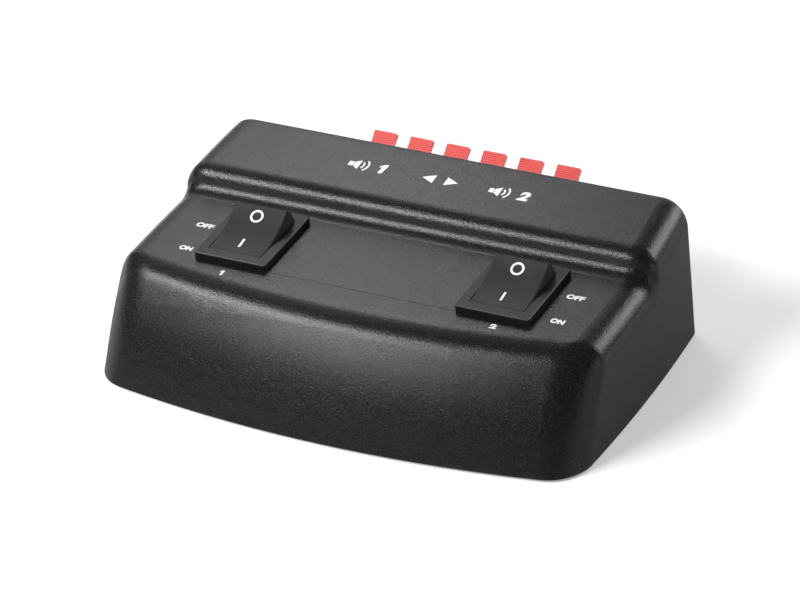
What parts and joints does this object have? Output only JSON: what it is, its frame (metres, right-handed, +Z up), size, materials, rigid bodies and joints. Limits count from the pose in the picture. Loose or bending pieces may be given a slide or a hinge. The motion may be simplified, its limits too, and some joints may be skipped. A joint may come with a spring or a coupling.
{
  "type": "speaker selector switch",
  "caption": "Black wedge-shaped desktop box with rocker switches on a low front deck and rows of red and black spring lever wire terminals at the back.",
  "frame": {"origin": "middle of the footprint, lever tips included, at the height that the rubber feet stand on", "axes": "+X to the right seen from the front, +Y to the back where the levers are, +Z up"},
  "size_m": [0.1724, 0.1212, 0.0487],
  "materials": {
    "case_plastic": "fine satin grain",
    "base_plastic": "matte",
    "foot_rubber": "matte",
    "screw_steel": "plated",
    "terminal_plastic": "satin",
    "board": "bare phenolic board",
    "red_plastic": "glossy",
    "black_plastic": "glossy",
    "rocker_plastic": "satin gloss",
    "frame_plastic": "satin",
    "contact_metal": "plated",
    "spring_steel": "drawn wire",
    "lead_insulation": "smooth"
  },
  "bodies": {
    "case": {"top_housing": "case_plastic", "base_plate": "base_plastic", "rubber_feet": "foot_rubber", "case_screws": "screw_steel", "terminal_block": "terminal_plastic", "terminal_screws": "screw_steel", "circuit_board": "board", "red_lever_spring_1": "spring_steel", "red_contact_1": "contact_metal", "red_lever_spring_2": "spring_steel", "red_contact_2": "contact_metal", "red_lever_spring_3": "spring_steel", "red_contact_3": "contact_metal", "red_lever_spring_4": "spring_steel", "red_contact_4": "contact_metal", "red_lever_spring_5": "spring_steel", "red_contact_5": "contact_metal", "red_lever_spring_6": "spring_steel", "red_contact_6": "contact_metal", "black_lever_spring_1": "spring_steel", "black_contact_1": "contact_metal", "black_lever_spring_2": "spring_steel", "black_contact_2": "contact_metal", "black_lever_spring_3": "spring_steel", "black_contact_3": "contact_metal", "black_lever_spring_4": "spring_steel", "black_contact_4": "contact_metal", "black_lever_spring_5": "spring_steel", "black_contact_5": "contact_metal", "black_lever_spring_6": "spring_steel", "black_contact_6": "contact_metal", "switch_1_frame": "frame_plastic", "switch_1_common_blades": "contact_metal", "switch_1_load_blades": "contact_metal", "switch_1_leads": "lead_insulation", "switch_2_frame": "frame_plastic", "switch_2_common_blades": "contact_metal", "switch_2_load_blades": "contact_metal", "switch_2_leads": "lead_insulation"},
    "red_terminal_lever_1": {"red_lever_1": "red_plastic"},
    "red_terminal_lever_2": {"red_lever_2": "red_plastic"},
    "red_terminal_lever_3": {"red_lever_3": "red_plastic"},
    "red_terminal_lever_4": {"red_lever_4": "red_plastic"},
    "red_terminal_lever_5": {"red_lever_5": "red_plastic"},
    "red_terminal_lever_6": {"red_lever_6": "red_plastic"},
    "black_terminal_lever_1": {"black_lever_1": "black_plastic"},
    "black_terminal_lever_2": {"black_lever_2": "black_plastic"},
    "black_terminal_lever_3": {"black_lever_3": "black_plastic"},
    "black_terminal_lever_4": {"black_lever_4": "black_plastic"},
    "black_terminal_lever_5": {"black_lever_5": "black_plastic"},
    "black_terminal_lever_6": {"black_lever_6": "black_plastic"},
    "rocker_1": {"switch_1_rocker": "rocker_plastic", "switch_1_plungers": "frame_plastic", "switch_1_plunger_springs": "spring_steel"},
    "bridges_1": {"switch_1_contact_bridges": "contact_metal"},
    "rocker_2": {"switch_2_rocker": "rocker_plastic", "switch_2_plungers": "frame_plastic", "switch_2_plunger_springs": "spring_steel"},
    "bridges_2": {"switch_2_contact_bridges": "contact_metal"}
  },
  "joints": [
    {"name": "red_lever_1_press", "type": "hinge", "parent": "case", "child": "red_terminal_lever_1", "pos_m": [-0.03325, 0.04203, 0.02697], "axis": [-1, 0, 0], "range_deg": [0, 25], "stiffness_Nm_per_rad": 0.12, "springref_deg": -17.19, "deforming": ["red_lever_spring_1"]},
    {"name": "red_lever_2_press", "type": "hinge", "parent": "case", "child": "red_terminal_lever_2", "pos_m": [-0.01995, 0.04203, 0.02697], "axis": [-1, 0, 0], "range_deg": [0, 25], "stiffness_Nm_per_rad": 0.12, "springref_deg": -17.19, "deforming": ["red_lever_spring_2"]},
    {"name": "red_lever_3_press", "type": "hinge", "parent": "case", "child": "red_terminal_lever_3", "pos_m": [-0.00665, 0.04203, 0.02697], "axis": [-1, 0, 0], "range_deg": [0, 25], "stiffness_Nm_per_rad": 0.12, "springref_deg": -17.19, "deforming": ["red_lever_spring_3"]},
    {"name": "red_lever_4_press", "type": "hinge", "parent": "case", "child": "red_terminal_lever_4", "pos_m": [0.00665, 0.04203, 0.02697], "axis": [-1, 0, 0], "range_deg": [0, 25], "stiffness_Nm_per_rad": 0.12, "springref_deg": -17.19, "deforming": ["red_lever_spring_4"]},
    {"name": "red_lever_5_press", "type": "hinge", "parent": "case", "child": "red_terminal_lever_5", "pos_m": [0.01995, 0.04203, 0.02697], "axis": [-1, 0, 0], "range_deg": [0, 25], "stiffness_Nm_per_rad": 0.12, "springref_deg": -17.19, "deforming": ["red_lever_spring_5"]},
    {"name": "red_lever_6_press", "type": "hinge", "parent": "case", "child": "red_terminal_lever_6", "pos_m": [0.03325, 0.04203, 0.02697], "axis": [-1, 0, 0], "range_deg": [0, 25], "stiffness_Nm_per_rad": 0.12, "springref_deg": -17.19, "deforming": ["red_lever_spring_6"]},
    {"name": "black_lever_1_press", "type": "hinge", "parent": "case", "child": "black_terminal_lever_1", "pos_m": [-0.03325, 0.04203, 0.01197], "axis": [-1, 0, 0], "range_deg": [0, 25], "stiffness_Nm_per_rad": 0.12, "springref_deg": -17.19, "deforming": ["black_lever_spring_1"]},
    {"name": "black_lever_2_press", "type": "hinge", "parent": "case", "child": "black_terminal_lever_2", "pos_m": [-0.01995, 0.04203, 0.01197], "axis": [-1, 0, 0], "range_deg": [0, 25], "stiffness_Nm_per_rad": 0.12, "springref_deg": -17.19, "deforming": ["black_lever_spring_2"]},
    {"name": "black_lever_3_press", "type": "hinge", "parent": "case", "child": "black_terminal_lever_3", "pos_m": [-0.00665, 0.04203, 0.01197], "axis": [-1, 0, 0], "range_deg": [0, 25], "stiffness_Nm_per_rad": 0.12, "springref_deg": -17.19, "deforming": ["black_lever_spring_3"]},
    {"name": "black_lever_4_press", "type": "hinge", "parent": "case", "child": "black_terminal_lever_4", "pos_m": [0.00665, 0.04203, 0.01197], "axis": [-1, 0, 0], "range_deg": [0, 25], "stiffness_Nm_per_rad": 0.12, "springref_deg": -17.19, "deforming": ["black_lever_spring_4"]},
    {"name": "black_lever_5_press", "type": "hinge", "parent": "case", "child": "black_terminal_lever_5", "pos_m": [0.01995, 0.04203, 0.01197], "axis": [-1, 0, 0], "range_deg": [0, 25], "stiffness_Nm_per_rad": 0.12, "springref_deg": -17.19, "deforming": ["black_lever_spring_5"]},
    {"name": "black_lever_6_press", "type": "hinge", "parent": "case", "child": "black_terminal_lever_6", "pos_m": [0.03325, 0.04203, 0.01197], "axis": [-1, 0, 0], "range_deg": [0, 25], "stiffness_Nm_per_rad": 0.12, "springref_deg": -17.19, "deforming": ["black_lever_spring_6"]},
    {"name": "rocker_1_tilt", "type": "hinge", "parent": "case", "child": "rocker_1", "pos_m": [-0.0462, -0.01012, 0.03591], "axis": [1, 0, 0], "range_deg": [-33, 0]},
    {"name": "bridges_1_rock", "type": "hinge", "parent": "case", "child": "bridges_1", "pos_m": [-0.0462, -0.00961, 0.025], "axis": [1, 0, 0], "range_deg": [0, 14]},
    {"name": "rocker_2_tilt", "type": "hinge", "parent": "case", "child": "rocker_2", "pos_m": [0.0462, -0.01012, 0.03591], "axis": [1, 0, 0], "range_deg": [-33, 0]},
    {"name": "bridges_2_rock", "type": "hinge", "parent": "case", "child": "bridges_2", "pos_m": [0.0462, -0.00961, 0.025], "axis": [1, 0, 0], "range_deg": [0, 14]}
  ],
  "couplings": [
    {"joint": "bridges_1_rock", "follows": "rocker_1_tilt", "ratio": -0.4242},
    {"joint": "bridges_2_rock", "follows": "rocker_2_tilt", "ratio": -0.4242}
  ]
}
